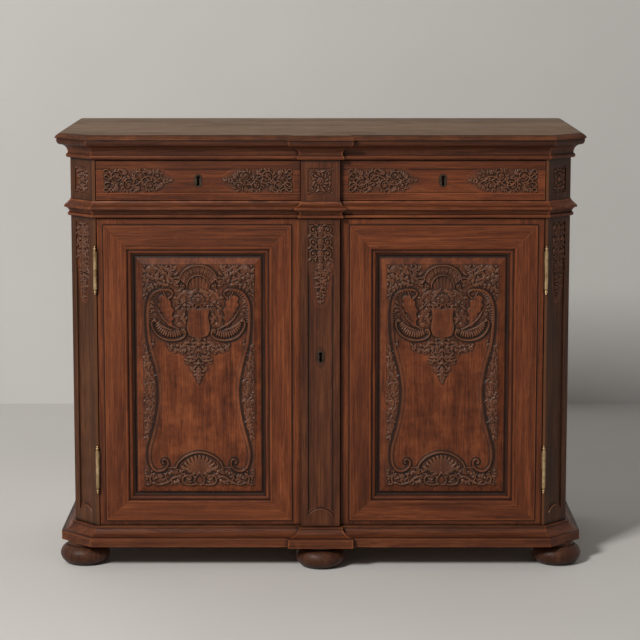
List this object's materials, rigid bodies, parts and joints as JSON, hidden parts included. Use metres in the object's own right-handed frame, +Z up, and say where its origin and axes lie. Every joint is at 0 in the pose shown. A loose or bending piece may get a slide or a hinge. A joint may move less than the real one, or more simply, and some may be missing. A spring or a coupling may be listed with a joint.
{
  "type": "sideboard",
  "caption": "Carved oak sideboard: canted corners, stepped centre, moulded top, frieze drawers over framed cupboard doors with carved panels, and bun feet.",
  "frame": {"origin": "on the floor under the middle of the overall box", "axes": "+X along the front to the viewer's right, +Y from the front to the back, +Z up"},
  "size_m": [1.324, 0.61, 1.095],
  "materials": {
    "oak": "waxed dark reddish oak",
    "top_oak": "worn matt oak, greyer than the case",
    "inner_wood": "unpolished inner wood",
    "hinge_brass": "aged satin brass",
    "lock_iron": "dark iron"
  },
  "bodies": {
    "case": {"back_frame": "inner_wood", "back_panels": "inner_wood", "base_rail": "oak", "bottom_board": "inner_wood", "centre_frieze_block": "oak", "centre_front_foot": "oak", "cornice_moulding": "oak", "door_stops": "inner_wood", "drawer_runners": "inner_wood", "dust_board": "inner_wood", "foot_blocks": "inner_wood", "left_back_foot": "oak", "left_back_post": "oak", "left_front_foot": "oak", "left_front_post": "oak", "left_side_panels": "oak", "left_side_rails": "oak", "plinth_moulding": "oak", "post_hinges": "hinge_brass", "right_back_foot": "oak", "right_back_post": "oak", "right_front_foot": "oak", "right_front_post": "oak", "right_side_panels": "oak", "right_side_rails": "oak", "shelf": "inner_wood", "shelf_bearers": "inner_wood", "top_board": "top_oak", "top_front_rail": "oak", "waist_moulding": "oak", "waist_rail": "oak"},
    "left_door": {"left_door_frame": "oak", "left_door_facing": "oak", "left_door_panel": "oak", "left_door_moulding": "oak", "left_door_pilaster": "oak", "left_door_hinges": "hinge_brass", "door_lock": "lock_iron"},
    "right_door": {"right_door_frame": "oak", "right_door_facing": "oak", "right_door_panel": "oak", "right_door_moulding": "oak", "right_door_hinges": "hinge_brass", "door_lock_keeper": "lock_iron", "bolt_guides": "lock_iron"},
    "left_drawer": {"left_drawer_front": "oak", "left_drawer_box": "inner_wood", "left_drawer_bottom": "inner_wood", "left_drawer_lock": "lock_iron"},
    "right_drawer": {"right_drawer_front": "oak", "right_drawer_box": "inner_wood", "right_drawer_bottom": "inner_wood", "right_drawer_lock": "lock_iron"},
    "door_bolt": {"door_lock_bolt": "lock_iron"},
    "left_drawer_bolt": {"left_drawer_lock_bolt": "lock_iron"},
    "right_drawer_bolt": {"right_drawer_lock_bolt": "lock_iron"},
    "upper_shoot_bolt": {"top_bolt": "lock_iron"},
    "lower_shoot_bolt": {"bottom_bolt": "lock_iron"}
  },
  "joints": [
    {"name": "left_door_hinge", "type": "hinge", "parent": "case", "child": "left_door", "pos_m": [-0.5605, -0.258, 0.496], "axis": [0, 0, -1], "range_deg": [0, 170]},
    {"name": "right_door_hinge", "type": "hinge", "parent": "case", "child": "right_door", "pos_m": [0.5605, -0.258, 0.496], "axis": [0, 0, 1], "range_deg": [0, 170]},
    {"name": "left_drawer_slide", "type": "slide", "parent": "case", "child": "left_drawer", "axis": [0, -1, 0], "range_m": [0, 0.36]},
    {"name": "right_drawer_slide", "type": "slide", "parent": "case", "child": "right_drawer", "axis": [0, -1, 0], "range_m": [0, 0.36]},
    {"name": "door_bolt_slide", "type": "slide", "parent": "left_door", "child": "door_bolt", "axis": [1, 0, 0], "range_m": [0, 0.009]},
    {"name": "left_drawer_bolt_slide", "type": "slide", "parent": "left_drawer", "child": "left_drawer_bolt", "axis": [0, 0, 1], "range_m": [0, 0.009]},
    {"name": "right_drawer_bolt_slide", "type": "slide", "parent": "right_drawer", "child": "right_drawer_bolt", "axis": [0, 0, 1], "range_m": [0, 0.009]},
    {"name": "upper_shoot_bolt_slide", "type": "slide", "parent": "right_door", "child": "upper_shoot_bolt", "axis": [0, 0, 1], "range_m": [0, 0.012]},
    {"name": "lower_shoot_bolt_slide", "type": "slide", "parent": "right_door", "child": "lower_shoot_bolt", "axis": [0, 0, -1], "range_m": [0, 0.012]}
  ]
}
